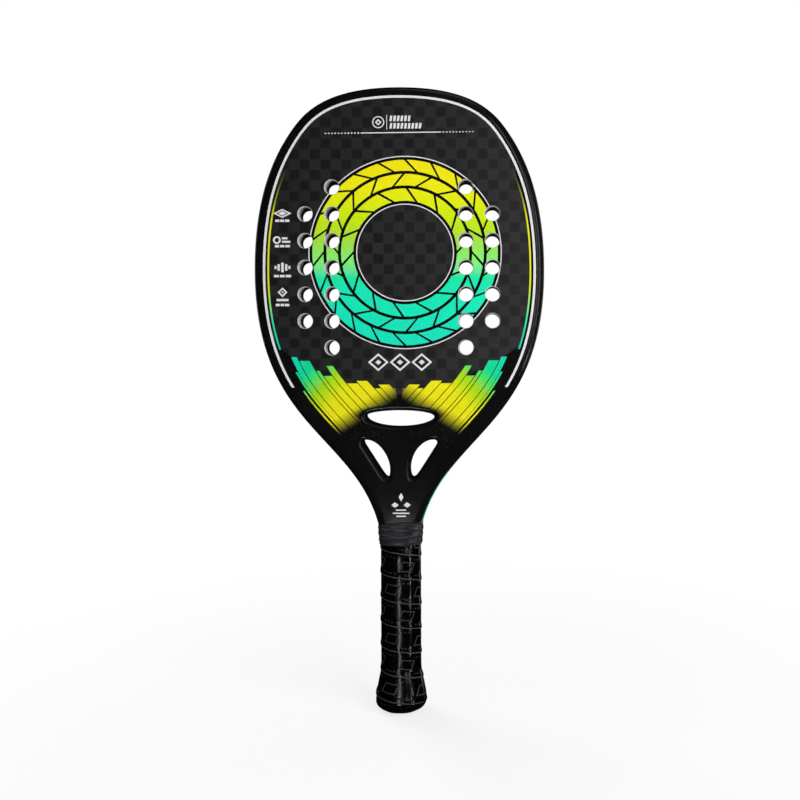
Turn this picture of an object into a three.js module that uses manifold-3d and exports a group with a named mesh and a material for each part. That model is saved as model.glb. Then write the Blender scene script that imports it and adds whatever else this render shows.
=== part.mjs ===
import * as THREE from 'three';
import { mergeVertices } from 'three/addons/utils/BufferGeometryUtils.js';
import Module from 'manifold-3d';

// Beach tennis racket standing on its butt end, in millimetres.
// X runs across the head, +Z from the butt to the crown, and the front face looks along -Y.
// Flat parts are drawn in the plane of the face (x, height) with their depth along a third axis,
// whose positive end is the front, and are then stood up.

// Whole racket
const racketLength = 500;
const headWidth = 232;
const racketThickness = 22;
const widestHeight = 353.5;
const neckHeight = 140;
const neckWidth = 30.4;
const bondGap = 0.3;

// Outline of one side: across from the middle (crown) or the neck (throat) to the widest point,
// and up from the widest point (crown) or the neck (throat)
const crownShares = [[0, 1], [0.463, 1], [0.63, 0.887], [0.726, 0.784], [0.896, 0.6], [1, 0.365], [1, 0]];
const throatShares = [[1, 1], [1, 0.386], [0.151, 0.389], [0, 0]];

// Frame tube
const tubeWidth = 13;
const tubeWall = 1.6;
const rimRadius = 5;
const legWidth = 8;
const legDepth = 15;
const legRadius = 3.6;
const legEndHeight = 12;
const roundLimitShare = 0.48;
const plugLength = 20;

// Skins, core and the holes through them
const skinThickness = 1;
const skinInset = 7.5;
const skinLap = 4;
const holeRadius = 5.8;
const holePitch = 21.3;
const holeFieldLift = 1.8;
const holeColumns = [{ steps: 2.5, reach: 3 }, { steps: 3.5, reach: 2 }];

// Throat bridge with its window and two slots
const windowLift = 94.55;
const windowWidth = 55;
const windowRise = 13.5;
const windowTopShare = 0.36;
const bridgeWeb = 8.7;
const bridgeTopRadius = 260;
const slotDrop = 9.9;
const slotRise = 31.9;
const strutWidth = 15.5;
const lipRadius = 3.2;

// Slot outline: across from the strut to the bridge's edge, and up from the slot's foot
const slotWallShares = [[0.43, 0.072], [0.675, 0.821]];
const slotTopTipShares = [[0.682, 1.006], [0.52, 1]];
const slotCurveShares = [[0.244, 0.987], [-0.012, 0.564], [0, 0.235]];
const slotFootTipShares = [0.032, -0.088];

// Handle
const spineWidth = 5.4;
const palletWidth = 28.8;
const palletDepth = 24.4;
const palletBevel = 8;
const palletRound = 1.2;
const palletTaperLength = 14;
const palletTaperDepth = 1.6;

// Butt cap
const capFloor = 5;
const capSkirtHeight = 28;
const capSkirtWall = 0.8;
const capShoulderHeight = 13;
const capFlare = 3.1;
const flangeHeight = 8;
const flangeWidth = 40.8;
const flangeRound = 2;
const domeHeightShares = [0, 0.11, 0.32, 0.69, 1];
const domeSizeShares = [0.51, 0.667, 0.843, 0.96, 1];

// Staples through the cap's skirt
const stapleDrop = 10;
const stapleCrown = 10;
const stapleWire = 1.1;
const stapleSink = 0.5;
const stapleTipWall = 1.43;

// Grip wound round the handle from the cap's flange to the neck
const gripPitch = 19.45;
const gripThickness = 1.4;
const gripLap = 0.55;
const gripSeamDrop = 16.7;
const gripRound = 3;
const gripFairLength = 6.2;
const gripRowShares = [0, 0.14, 0.32, 0.985];
const gripLiftShares = [1, 1, 0, 0];

// Finishing tape wound over the grip's upper end and the neck
const tapeDrop = 5.8;
const tapeRise = 10.8;
const tapePitch = 5.2;
const tapeThickness = 0.8;
const tapeLap = 0.35;
const tapeRound = 2.4;
const tapeShoulderBevel = 5.4;
const tapeNeckBevel = 2.6;
const tapeRowShares = [0, 0.3, 0.55, 0.96];
const tapeLiftShares = [1, 1, 0, 0];

// How finely curves are cut, and how far a cut overruns what it cuts
const crownSteps = 9;
const throatSteps = 20;
const roundSteps = 3;
const holeSides = 16;
const windowSides = 36;
const discSides = 120;
const slotTipSteps = 4;
const slotCurveSteps = 9;
const lipSteps = 3;
const overrun = 4;
const weld = 0.0001;

const carbonPaint = { color: 0x121213, roughness: 0.42, metalness: 0.0 };
const weavePaint = { color: 0x2a2a2b, roughness: 0.45, metalness: 0.0 };
const foamGrey = { color: 0xc9ccce, roughness: 0.9, metalness: 0.0 };
const handleFoam = { color: 0x8c7a52, roughness: 0.85, metalness: 0.0 };
const capBlack = { color: 0x101011, roughness: 0.5, metalness: 0.0 };
const gripBlack = { color: 0x0b0b0c, roughness: 0.32, metalness: 0.0 };
const tapeBlack = { color: 0x29292c, roughness: 0.36, metalness: 0.0 };
const stapleSteel = { color: 0xb4b6b8, roughness: 0.35, metalness: 0.9 };

const wasm = await Module();
wasm.setup();

const headHalf = headWidth / 2;
const neckHalf = neckWidth / 2;
const faceDepth = racketThickness / 2;
const coreDepth = faceDepth - skinThickness;
const holeFieldHeight = widestHeight + holeFieldLift;
const windowMidHeight = neckHeight + windowLift;
const bridgeTopHeight = windowMidHeight + windowRise / 2 + bridgeWeb;
const tailHeight = neckHeight - rimRadius - overrun;
const tapeLowHeight = neckHeight - tapeDrop;
const tapeHighHeight = neckHeight + tapeRise;
const outlineCurves = makeOutlineCurves();

const racket = new THREE.Group();
racket.name = 'beach_tennis_racket';
addPart('frame_tube', makeFrameTube(), carbonPaint);
addPart('throat_bridge', makeThroatBridge(), carbonPaint);
addPart('foam_core', makeFoamCore(), foamGrey);
addPart('front_skin', makeSkin(coreDepth, faceDepth), weavePaint);
addPart('rear_skin', makeSkin(-faceDepth, -coreDepth), weavePaint);
addPart('handle_spine', makeHandleSpine(), handleFoam);
addPart('leg_plug_left', makeLegPlug(-1), foamGrey);
addPart('leg_plug_right', makeLegPlug(1), foamGrey);
addPart('front_pallet', makePallet(-1), handleFoam);
addPart('rear_pallet', makePallet(1), handleFoam);
addPart('butt_cap', makeButtCap(), capBlack);
addPart('front_staple', makeStaple(-1, 0), stapleSteel);
addPart('rear_staple', makeStaple(1, 0), stapleSteel);
addPart('grip_wrap', makeGripWrap(), gripBlack);
addPart('finishing_tape', makeFinishingTape(), tapeBlack);

export default racket;

function addPart(name, solid, finish) {
  const mesh = new THREE.Mesh(toGeometry(solid), new THREE.MeshStandardMaterial(finish));
  mesh.name = name;
  racket.add(mesh);
}

// Solids from geometries and back

function toSolid(geometry) {
  geometry.deleteAttribute('normal');
  geometry.deleteAttribute('uv');
  const merged = mergeVertices(geometry, weld);
  return new wasm.Manifold(new wasm.Mesh({
    numProp: 3,
    vertProperties: merged.attributes.position.array,
    triVerts: new Uint32Array(merged.index.array),
  }));
}

function toGeometry(solid) {
  const mesh = solid.getMesh();
  const geometry = new THREE.BufferGeometry();
  geometry.setAttribute('position', new THREE.BufferAttribute(mesh.vertProperties, 3));
  geometry.setIndex(new THREE.BufferAttribute(mesh.triVerts, 1));
  geometry.computeVertexNormals();
  return geometry;
}

// A flat piece between two depths, its long edges rounded by edgeRound
function plate(shapes, lowDepth, highDepth, edgeRound = 0, segments = holeSides / 2) {
  const geometry = new THREE.ExtrudeGeometry(shapes, {
    depth: highDepth - lowDepth - 2 * edgeRound,
    curveSegments: segments,
    bevelEnabled: edgeRound > 0,
    bevelThickness: edgeRound,
    bevelSize: edgeRound,
    bevelOffset: -edgeRound,
    bevelSegments: roundSteps,
  });
  geometry.translate(0, 0, lowDepth + edgeRound);
  geometry.rotateX(Math.PI / 2);
  return toSolid(geometry);
}

function throughPlate(shapes, segments) {
  return plate(shapes, -faceDepth - overrun, faceDepth + overrun, 0, segments);
}

// An upright bar with a constant section
function bar(shape, lowHeight, highHeight) {
  const geometry = new THREE.ExtrudeGeometry(shape, {
    depth: highHeight - lowHeight,
    curveSegments: roundSteps,
    bevelEnabled: false,
  });
  geometry.translate(0, 0, lowHeight);
  return toSolid(geometry);
}

function block(low, high) {
  const size = high.clone().sub(low);
  const middle = low.clone().add(high).multiplyScalar(0.5);
  const geometry = new THREE.BoxGeometry(size.x, size.y, size.z);
  geometry.translate(middle.x, middle.y, middle.z);
  return toSolid(geometry);
}

// Everything of the racket between two heights
function slice(lowHeight, highHeight) {
  const reach = headHalf + overrun;
  return block(new THREE.Vector3(-reach, -reach, lowHeight), new THREE.Vector3(reach, reach, highHeight));
}

// Closed body through a stack of convex rings with the same number of points
function loft(rings) {
  const sides = rings[0].length;
  const indices = [];
  for (let row = 0; row + 1 < rings.length; row++) {
    for (let side = 0; side < sides; side++) {
      const next = (side + 1) % sides;
      const a = row * sides + side;
      const b = row * sides + next;
      indices.push(a, b, b + sides, a, b + sides, a + sides);
    }
  }
  const last = (rings.length - 1) * sides;
  for (let side = 1; side + 1 < sides; side++) {
    indices.push(0, side + 1, side);
    indices.push(last, last + side, last + side + 1);
  }
  const geometry = new THREE.BufferGeometry().setFromPoints(rings.flat());
  geometry.setIndex(indices);
  return geometry;
}

// Outline of the head and throat

function makeOutlineCurves() {
  const crown = crownShares.map(([across, up]) => new THREE.Vector2(
    across * headHalf, widestHeight + up * (racketLength - widestHeight)));
  const throat = throatShares.map(([across, up]) => new THREE.Vector2(
    neckHalf + across * (headHalf - neckHalf), neckHeight + up * (widestHeight - neckHeight)));
  return [
    { curve: new THREE.CubicBezierCurve(...crown.slice(0, 4)), steps: crownSteps },
    { curve: new THREE.CubicBezierCurve(...crown.slice(3, 7)), steps: crownSteps },
    { curve: new THREE.CubicBezierCurve(...throat), steps: throatSteps },
  ];
}

// Points down the right-hand side, moved in from the outline by inset. They run on below the neck,
// or end in a tip where so large an inset meets the middle.
function sidePoints(inset) {
  const points = [];
  outlineCurves.forEach(({ curve, steps }, index) => {
    for (let step = index === 0 ? 0 : 1; step <= steps; step++) {
      const along = curve.getTangent(step / steps);
      const point = curve.getPoint(step / steps);
      points.push(new THREE.Vector2(point.x + inset * along.y, point.y - inset * along.x));
    }
  });
  points[0].x = 0;
  points.push(new THREE.Vector2(points[points.length - 1].x, tailHeight));
  const past = points.findIndex((point, index) => index > 0 && point.x <= 0);
  if (past < 0) return points;
  const [high, low] = [points[past - 1], points[past]];
  const tip = high.clone().lerp(low, high.x / (high.x - low.x));
  return [...points.slice(0, past), tip];
}

// How far the right-hand side, moved in by inset, lies from the middle at a height below the widest
function sideAt(height, inset) {
  const points = sidePoints(inset);
  const below = points.findIndex((point) => point.y <= height);
  const low = points[below];
  const high = points[below - 1];
  return THREE.MathUtils.lerp(low.x, high.x, (height - low.y) / (high.y - low.y));
}

// Whole outline moved in by inset, carried on below the neck
function rimShape(inset) {
  const right = sidePoints(inset);
  const left = right.filter((point) => point.x > weld).reverse()
    .map((point) => new THREE.Vector2(-point.x, point.y));
  return new THREE.Shape([...right, ...left]);
}

function belowNeck() {
  return slice(tailHeight - overrun, neckHeight);
}

// Round bar through the racket whose lowest line is at bottomHeight: what lies inside it is head
function headDisc(bottomHeight, radius) {
  const disc = new THREE.Shape();
  disc.absarc(0, bottomHeight + radius, radius, 0, 2 * Math.PI);
  return throughPlate(disc, discSides / 2);
}

// The skin's place, grown by grow all round, between two depths
function skinField(grow, lowDepth, highDepth) {
  const bottomHeight = bridgeTopHeight - skinLap - grow;
  return plate(rimShape(skinInset - grow), lowDepth, highDepth)
    .intersect(headDisc(bottomHeight, bridgeTopRadius + skinLap));
}

function skinPockets() {
  return skinField(bondGap, coreDepth, faceDepth + overrun)
    .add(skinField(bondGap, -faceDepth - overrun, -coreDepth));
}

function holeField() {
  const holes = [];
  for (const { steps, reach } of holeColumns) {
    for (const side of [-1, 1]) {
      for (let row = -reach; row <= reach; row++) {
        const hole = new THREE.Shape();
        hole.absarc(side * steps * holePitch, holeFieldHeight + row * holePitch, holeRadius, 0, 2 * Math.PI);
        holes.push(hole);
      }
    }
  }
  return throughPlate(holes);
}

// Frame tube

// Section of one leg in the handle, moved in by inset
function legShape(side, inset) {
  const middle = side * (spineWidth / 2 + bondGap + legWidth / 2);
  return roundedRectangle(middle, legWidth - 2 * inset, legDepth - 2 * inset, legRadius - inset);
}

function roundedRectangle(middle, width, depth, wanted) {
  const radius = Math.min(wanted, roundLimitShare * width, roundLimitShare * depth);
  const right = middle + width / 2 - radius;
  const left = middle - width / 2 + radius;
  const back = depth / 2 - radius;
  const shape = new THREE.Shape();
  shape.absarc(right, back, radius, 0, Math.PI / 2);
  shape.absarc(left, back, radius, Math.PI / 2, Math.PI);
  shape.absarc(left, -back, radius, Math.PI, 1.5 * Math.PI);
  shape.absarc(right, -back, radius, 1.5 * Math.PI, 2 * Math.PI);
  shape.closePath();
  return shape;
}

function legPair(inset, lowHeight, highHeight) {
  return bar(legShape(-1, inset), lowHeight, highHeight).add(bar(legShape(1, inset), lowHeight, highHeight));
}

function makeFrameTube() {
  const inside = throughPlate(rimShape(tubeWidth)).subtract(belowNeck());
  const hoop = plate(rimShape(0), -faceDepth, faceDepth, rimRadius)
    .subtract(belowNeck())
    .subtract(skinPockets());
  const voidDepth = coreDepth - tubeWall;
  const hoopVoid = plate(rimShape(tubeWall), -voidDepth, voidDepth, rimRadius - tubeWall)
    .subtract(throughPlate(rimShape(tubeWidth - tubeWall)))
    .subtract(slice(tailHeight - overrun, neckHeight + tubeWall));
  const legVoid = legPair(tubeWall, legEndHeight - overrun, neckHeight + overrun)
    .subtract(throughPlate(rimShape(tubeWidth - tubeWall)));
  return hoop
    .add(legPair(0, legEndHeight, neckHeight + overrun))
    .subtract(inside)
    .subtract(hoopVoid)
    .subtract(legVoid);
}

function makeLegPlug(side) {
  return bar(legShape(side, tubeWall + bondGap), legEndHeight, legEndHeight + plugLength);
}

// Head

function makeFoamCore() {
  return plate(rimShape(tubeWidth + bondGap), -coreDepth, coreDepth)
    .intersect(headDisc(bridgeTopHeight + bondGap, bridgeTopRadius))
    .subtract(holeField());
}

function makeSkin(lowDepth, highDepth) {
  return skinField(0, lowDepth, highDepth).subtract(holeField());
}

// Throat bridge

// Cutter for an opening whose two edges are rounded over by lipRadius
function lippedOpening(outline) {
  const ring = THREE.ShapeUtils.isClockWise(outline) ? outline.slice().reverse() : outline;
  const stations = [[-faceDepth - overrun, lipRadius]];
  for (let step = 0; step <= lipSteps; step++) {
    const turn = (step / lipSteps) * Math.PI / 2;
    const depth = faceDepth - lipRadius * (1 - Math.cos(turn));
    const grow = lipRadius * (1 - Math.sin(turn));
    stations.splice(1 + step, 0, [-depth, grow]);
  }
  const front = stations.map(([depth, grow]) => [-depth, grow]).reverse();
  const rings = [...stations, ...front].map(([depth, grow]) => growRing(ring, grow, depth));
  const geometry = loft(rings);
  geometry.rotateX(Math.PI / 2);
  return toSolid(geometry);
}

function growRing(ring, grow, depth) {
  return ring.map((point, index) => {
    const before = ring[(index + ring.length - 1) % ring.length];
    const after = ring[(index + 1) % ring.length];
    const outward = new THREE.Vector2(after.y - before.y, before.x - after.x).normalize();
    return new THREE.Vector3(point.x + grow * outward.x, point.y + grow * outward.y, depth);
  });
}

// The window is an ellipse that is flatter above its widest place than below it
function windowOutline() {
  const widest = windowMidHeight + windowRise * (0.5 - windowTopShare);
  const ellipse = new THREE.EllipseCurve(0, 0, windowWidth / 2, windowRise);
  return ellipse.getPoints(windowSides).slice(0, -1).map(({ x, y }) => (
    new THREE.Vector2(x, widest + y * (y > 0 ? windowTopShare : 1 - windowTopShare))));
}

function slotOutline(side) {
  const footHeight = windowMidHeight - windowRise / 2 - slotDrop - slotRise;
  const place = ([across, up]) => {
    const height = footHeight + up * slotRise;
    const room = sideAt(height, tubeWidth + bondGap) - strutWidth / 2;
    return new THREE.Vector2(side * (strutWidth / 2 + across * room), height);
  };
  const wall = slotWallShares.map(place);
  const topTip = slotTopTipShares.map(place);
  const inner = slotCurveShares.map(place);
  return [
    wall[0],
    ...new THREE.QuadraticBezierCurve(wall[1], ...topTip).getPoints(slotTipSteps),
    ...new THREE.CubicBezierCurve(topTip[1], ...inner).getPoints(slotCurveSteps).slice(1),
    ...new THREE.QuadraticBezierCurve(inner[2], place(slotFootTipShares), wall[0])
      .getPoints(slotTipSteps).slice(1, -1),
  ];
}

function makeThroatBridge() {
  return throughPlate(rimShape(tubeWidth + bondGap))
    .intersect(plate(rimShape(0), -faceDepth, faceDepth))
    .subtract(headDisc(bridgeTopHeight, bridgeTopRadius))
    .subtract(belowNeck())
    .subtract(skinPockets())
    .subtract(lippedOpening(windowOutline()))
    .subtract(lippedOpening(slotOutline(-1)))
    .subtract(lippedOpening(slotOutline(1)));
}

// Handle

// Sections of the handle are bevelled rectangles, kept as stations of height, width, depth and bevel.
// Widening a station moves every side out by the same amount.
function station(height, width, depth, bevel) {
  return { height, width, depth, bevel };
}

function widen(stations, by) {
  const bevelGain = by * (2 - Math.SQRT2);
  return stations.map(({ height, width, depth, bevel }) => (
    station(height, width + 2 * by, depth + 2 * by, bevel + bevelGain)));
}

// Section at any height, straight between stations
function sectionAt(stations, height) {
  const above = Math.max(1, stations.findIndex((one) => one.height >= height));
  const high = height > stations[stations.length - 1].height ? stations.length - 1 : above;
  const low = stations[high - 1];
  const top = stations[high];
  const share = THREE.MathUtils.clamp((height - low.height) / (top.height - low.height), 0, 1);
  const mix = (key) => low[key] + share * (top[key] - low[key]);
  return station(height, mix('width'), mix('depth'), mix('bevel'));
}

// Points round one section, anticlockwise seen from above, three to a rounded corner
function sectionRing({ height, width, depth, bevel }, round) {
  const x = width / 2;
  const y = depth / 2;
  const corners = [[x, y - bevel], [x - bevel, y], [bevel - x, y], [-x, y - bevel]]
    .concat([[-x, bevel - y], [bevel - x, -y], [x - bevel, -y], [x, bevel - y]])
    .map(([across, back]) => new THREE.Vector2(across, back));
  const cut = round * Math.tan(Math.PI / 8);
  return corners.flatMap((corner, index) => {
    const before = corners[(index + 7) % 8].clone().sub(corner).setLength(cut).add(corner);
    const after = corners[(index + 1) % 8].clone().sub(corner).setLength(cut).add(corner);
    const chord = before.clone().add(after).multiplyScalar(0.5);
    const middle = chord.lerp(corner, 0.5);
    return [before, middle, after].map((point) => new THREE.Vector3(point.x, point.y, height));
  });
}

function handleLoft(stations, round) {
  return toSolid(loft(stations.map((one) => sectionRing(one, round))));
}

function palletStations(lowHeight, highHeight) {
  const taperHeight = neckHeight - palletTaperLength;
  return [
    station(lowHeight, palletWidth, palletDepth, palletBevel),
    station(taperHeight, palletWidth, palletDepth, palletBevel),
    station(highHeight, palletWidth, palletDepth - 2 * palletTaperDepth, palletBevel - palletTaperDepth),
  ];
}

function makeHandleSpine() {
  return block(
    new THREE.Vector3(-spineWidth / 2, -legDepth / 2, legEndHeight),
    new THREE.Vector3(spineWidth / 2, legDepth / 2, neckHeight - bondGap),
  );
}

// The space that the legs and the spine fill between the pallets
function legChannel() {
  const width = spineWidth + 2 * legWidth + 4 * bondGap;
  const shape = roundedRectangle(0, width, legDepth + 2 * bondGap, legRadius + bondGap);
  return bar(shape, legEndHeight - bondGap, neckHeight + overrun);
}

function makePallet(side) {
  const low = new THREE.Vector3(-palletWidth, bondGap / 2, 0);
  const high = new THREE.Vector3(palletWidth, palletDepth, neckHeight);
  const half = side > 0
    ? block(low, high)
    : block(new THREE.Vector3(low.x, -high.y, low.z), new THREE.Vector3(high.x, -low.y, high.z));
  return handleLoft(palletStations(capFloor + bondGap, neckHeight - bondGap), palletRound)
    .intersect(half)
    .subtract(legChannel())
    .subtract(makeStaple(side, bondGap));
}

// Butt cap

function skirtStations() {
  const skirt = station(capSkirtHeight, palletWidth, palletDepth, palletBevel);
  const [top] = widen([skirt], bondGap + capSkirtWall);
  const [shoulder] = widen([top], capFlare);
  return [
    station(flangeHeight, shoulder.width, shoulder.depth, shoulder.bevel),
    station(capShoulderHeight, shoulder.width, shoulder.depth, shoulder.bevel),
    top,
  ];
}

function flangeStations() {
  const [shoulder] = skirtStations();
  const grow = (flangeWidth - shoulder.width) / 2;
  const [flange] = widen([shoulder], grow);
  return domeHeightShares.map((up, index) => {
    const size = domeSizeShares[index];
    return station(up * flangeHeight, size * flange.width, size * flange.depth, size * flange.bevel);
  });
}

function makeButtCap() {
  const socket = widen(palletStations(capFloor, neckHeight), bondGap);
  return handleLoft(skirtStations(), flangeRound)
    .add(handleLoft(flangeStations(), flangeRound))
    .subtract(handleLoft(socket, palletRound))
    .subtract(makeStaple(-1, bondGap))
    .subtract(makeStaple(1, bondGap));
}

// Staple in the front (-1) or the rear (1) of the skirt, grown all round by grow: its legs stop short
// of the channel in the pallet
function makeStaple(side, grow) {
  const stapleHeight = capSkirtHeight - stapleDrop;
  const outer = sectionAt(skirtStations(), stapleHeight).depth / 2 - stapleSink;
  const mouth = grow > 0 ? stapleSink + overrun : 0;
  const wireHalf = stapleWire / 2 + grow;
  const span = stapleCrown / 2 + grow;
  const box = (left, right, near, far) => block(
    new THREE.Vector3(left, Math.min(side * near, side * far), stapleHeight - wireHalf),
    new THREE.Vector3(right, Math.max(side * near, side * far), stapleHeight + wireHalf),
  );
  const tip = legDepth / 2 + bondGap + stapleTipWall - grow;
  const crown = box(-span, span, outer - stapleWire - grow, outer + mouth);
  const left = box(-span, -span + 2 * wireHalf, tip, outer);
  const right = box(span - 2 * wireHalf, span, tip, outer);
  return crown.add(left).add(right);
}

// Windings

// A sleeve whose outside climbs in a left-hand helix: each turn laps over the one below it.
// rowShares place the rows of one turn from a seam upwards and liftShares their share of the lap.
function woundSleeve({ stations, round, pitch, lap, seamHeight, rowShares, liftShares, low, high }) {
  const rowsPerTurn = rowShares.length;
  const firstTurn = Math.floor((low - seamHeight) / pitch) - 1;
  const lastTurn = Math.ceil((high - seamHeight) / pitch) + 2;
  const rows = (lastTurn - firstTurn) * rowsPerTurn;
  const plain = sectionRing(stations[0], round);
  const sides = plain.length;
  const turnShares = plain.map((point) => {
    const angle = Math.atan2(point.y, point.x);
    return (angle < 0 ? angle + 2 * Math.PI : angle) / (2 * Math.PI);
  });
  const points = [];
  for (let row = 0; row < rows; row++) {
    const turn = firstTurn + Math.floor(row / rowsPerTurn);
    const rowShare = rowShares[row % rowsPerTurn];
    const lift = lap * liftShares[row % rowsPerTurn];
    for (let side = 0; side < sides; side++) {
      const height = seamHeight + pitch * (turn + rowShare - turnShares[side] + 1);
      const [section] = widen([sectionAt(stations, height)], lift);
      points.push(sectionRing(section, round)[side]);
    }
  }
  return toSolid(woundSurface(points, rows, sides, rowsPerTurn));
}

// Skin of the helix: the last point of each row meets the first point of the row one turn lower
function woundSurface(points, rows, sides, rowsPerTurn) {
  const indices = [];
  const quad = (a, b, c, d) => indices.push(a, b, c, a, c, d);
  for (let row = 0; row + 1 < rows; row++) {
    for (let side = 0; side + 1 < sides; side++) {
      const a = row * sides + side;
      quad(a, a + 1, a + 1 + sides, a + sides);
    }
    if (row >= rowsPerTurn) {
      const a = row * sides + sides - 1;
      const b = (row - rowsPerTurn) * sides;
      quad(a, b, b + sides, a + sides);
    }
  }
  const foot = [];
  const head = [];
  for (let side = 0; side < sides; side++) {
    foot.push(side);
    head.push((rows - 1) * sides + side);
  }
  for (let row = 1; row <= rowsPerTurn; row++) {
    foot.push(row * sides + sides - 1);
    head.unshift((rows - 1 - row) * sides);
  }
  const footHub = points.length;
  const headHub = footHub + 1;
  const hubHeight = (loop) => loop.reduce((sum, index) => sum + points[index].z, 0) / loop.length;
  const hubs = [foot, head].map((loop) => new THREE.Vector3(0, 0, hubHeight(loop)));
  foot.forEach((index, place) => indices.push(footHub, foot[(place + 1) % foot.length], index));
  head.forEach((index, place) => indices.push(headHub, index, head[(place + 1) % head.length]));
  const geometry = new THREE.BufferGeometry().setFromPoints([...points, ...hubs]);
  geometry.setIndex(indices);
  return geometry;
}

// Outside of the grip without its laps, eased off the cap's skirt onto the pallets
function gripStations() {
  const seat = bondGap + gripThickness;
  const skirt = widen(skirtStations(), seat);
  const handle = widen(palletStations(capSkirtHeight, neckHeight), seat);
  return [...skirt, ...handle.map((one, index) => (
    index === 0 ? { ...one, height: capSkirtHeight + gripFairLength } : one))];
}

function makeGripWrap() {
  const low = flangeHeight + bondGap;
  const high = neckHeight - bondGap;
  const outside = woundSleeve({
    stations: gripStations(), round: gripRound, pitch: gripPitch, lap: gripLap,
    seamHeight: neckHeight - gripSeamDrop, rowShares: gripRowShares, liftShares: gripLiftShares, low, high,
  });
  return outside
    .intersect(slice(low, high))
    .subtract(handleLoft(widen(palletStations(0, neckHeight), bondGap), palletRound))
    .subtract(handleLoft(widen(skirtStations(), bondGap), flangeRound));
}

// Outside of the finishing tape without its laps: on the grip, over the wider of grip and neck where
// they meet, and on the neck
function tapeStations() {
  const seat = gripLap + bondGap + tapeThickness;
  const [low, end] = widen([tapeLowHeight, neckHeight].map((one) => sectionAt(gripStations(), one)), seat);
  const foot = sectionOnNeck(neckHeight, tapeShoulderBevel);
  const width = Math.max(end.width, foot.width);
  const depth = Math.max(end.depth, foot.depth);
  return [low, station(neckHeight, width, depth, foot.bevel), sectionOnNeck(tapeHighHeight, tapeNeckBevel)];
}

function sectionOnNeck(height, bevel) {
  const cover = 2 * (bondGap + tapeThickness);
  return station(height, 2 * sideAt(height, 0) + cover, racketThickness + cover, bevel);
}

function makeFinishingTape() {
  const outside = woundSleeve({
    stations: tapeStations(), round: tapeRound, pitch: tapePitch, lap: tapeLap,
    seamHeight: neckHeight, rowShares: tapeRowShares, liftShares: tapeLiftShares,
    low: tapeLowHeight, high: tapeHighHeight,
  });
  const neck = plate(rimShape(-bondGap), -faceDepth - bondGap, faceDepth + bondGap, rimRadius + bondGap)
    .subtract(slice(tailHeight - overrun, neckHeight - bondGap));
  const grip = handleLoft(widen(gripStations(), gripLap + bondGap), gripRound);
  return outside
    .intersect(slice(tapeLowHeight, tapeHighHeight))
    .subtract(grip)
    .subtract(neck);
}
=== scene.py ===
import math

import bmesh
import bpy
import numpy as np
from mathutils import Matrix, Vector, noise
from mathutils.geometry import delaunay_2d_cdt


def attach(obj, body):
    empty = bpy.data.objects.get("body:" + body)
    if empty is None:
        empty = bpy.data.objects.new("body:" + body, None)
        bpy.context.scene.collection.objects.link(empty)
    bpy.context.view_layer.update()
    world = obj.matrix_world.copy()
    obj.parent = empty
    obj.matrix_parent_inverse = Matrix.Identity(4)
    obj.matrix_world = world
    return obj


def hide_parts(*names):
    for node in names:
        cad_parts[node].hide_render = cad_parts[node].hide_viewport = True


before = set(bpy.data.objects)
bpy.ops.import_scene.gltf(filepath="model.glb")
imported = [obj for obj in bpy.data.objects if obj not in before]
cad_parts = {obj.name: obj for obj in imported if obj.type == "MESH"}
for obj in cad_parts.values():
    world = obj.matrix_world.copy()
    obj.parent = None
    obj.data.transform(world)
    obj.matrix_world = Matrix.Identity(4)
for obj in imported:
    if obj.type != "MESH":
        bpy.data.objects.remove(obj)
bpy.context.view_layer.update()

# Beach tennis racket standing on its butt end. Sizes are in millimetres and turn into metres where
# a mesh is made. Flat shapes are drawn as (across, height) and get their depth towards the front.
METRE = 0.001

# Whole racket, as its solids have it
racket_length = 500.0
head_width = 232.0
face_depth = 11.0
widest_height = 353.5
neck_height = 140.0
neck_width = 30.4
crown_shares = [(0, 1), (0.463, 1), (0.63, 0.887), (0.726, 0.784), (0.896, 0.6), (1, 0.365), (1, 0)]
throat_shares = [(1, 1), (1, 0.386), (0.151, 0.389), (0, 0)]

# Rim, skins and core
rim_across = 6.5
rim_deep = 5.5
side_paint_inset = 1.4
tube_width = 13.3
skin_thickness = 1.0
skin_inset = 7.2
skin_edge_gap = 0.02
core_edge_gap = 0.05
core_face_gap = 0.02
bridge_top_height = 250.0
bridge_top_radius = 260.0
skin_lap = 4.0
shell_foot = 139.7
flat_border = 0.4

# Holes through the face: a column is (pitches from the middle, rows on each side of its middle one)
hole_radius = 5.8
hole_pitch = 21.3
hole_field_height = 355.3
hole_columns = [(2.5, 3), (3.5, 2)]
hole_chamfer = 0.4

# Openings in the throat
window_top = 241.3
window_width = 55.0
window_rise = 13.5
window_top_share = 0.36
slot_foot = 186.0
slot_rise = 31.9
strut_half = 7.75
lip_across = 3.6
lip_deep = 3.4
slot_wall_shares = [(0.43, 0.072), (0.675, 0.821)]
slot_top_shares = [(0.682, 1.006), (0.52, 1)]
slot_curve_shares = [(0.244, 0.987), (-0.012, 0.564), (0, 0.235)]
slot_foot_share = (0.032, -0.088)

# Legs of the frame in the handle
leg_middle = 7.0
leg_width = 8.0
leg_depth = 15.0
leg_foot = 12.0
leg_round = 3.6

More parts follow.
